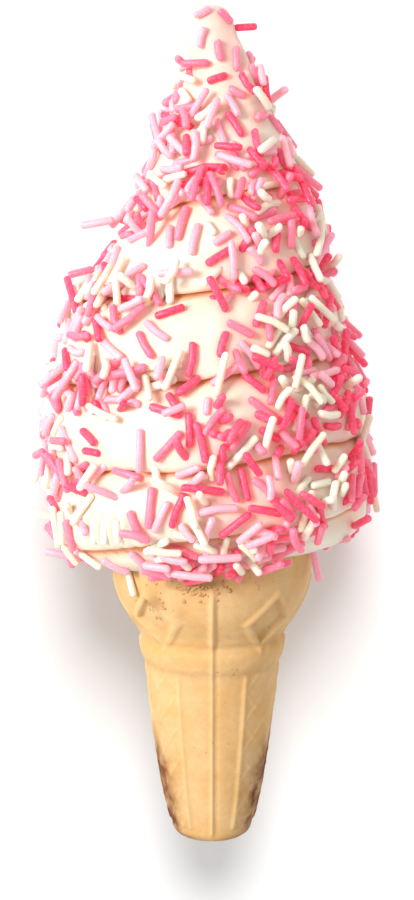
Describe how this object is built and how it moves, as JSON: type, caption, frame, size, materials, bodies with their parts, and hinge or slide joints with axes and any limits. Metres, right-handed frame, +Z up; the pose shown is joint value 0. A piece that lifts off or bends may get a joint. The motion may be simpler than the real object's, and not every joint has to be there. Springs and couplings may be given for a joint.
{
  "type": "soft serve ice cream cone",
  "caption": "Tall swirl of vanilla soft serve with sugar sprinkles in a moulded wafer cone, lying on its side.",
  "frame": {"origin": "centre of the footprint of the whole cone as it lies, on the surface that it lies on", "axes": "+Y along the cone's axis towards the tip of the ice cream, +Z up out of the side that faces up, +X to the right of that side"},
  "size_m": [0.0788, 0.2, 0.0751],
  "materials": {
    "wafer": "baked wafer, matt and pale tan, toasted darker near its base and edges",
    "vanilla_ice_cream": "frozen vanilla soft serve, creamy white with a soft damp sheen",
    "deep_pink_sugar": "deep pink sugar strands, satin",
    "mid_pink_sugar": "mid pink sugar strands, satin",
    "pale_pink_sugar": "pale pink sugar strands, satin",
    "cream_sugar": "cream white sugar strands, satin"
  },
  "bodies": {
    "root": {"wafer_cone": "wafer", "ice_cream": "vanilla_ice_cream"}
  },
  "joints": []
}
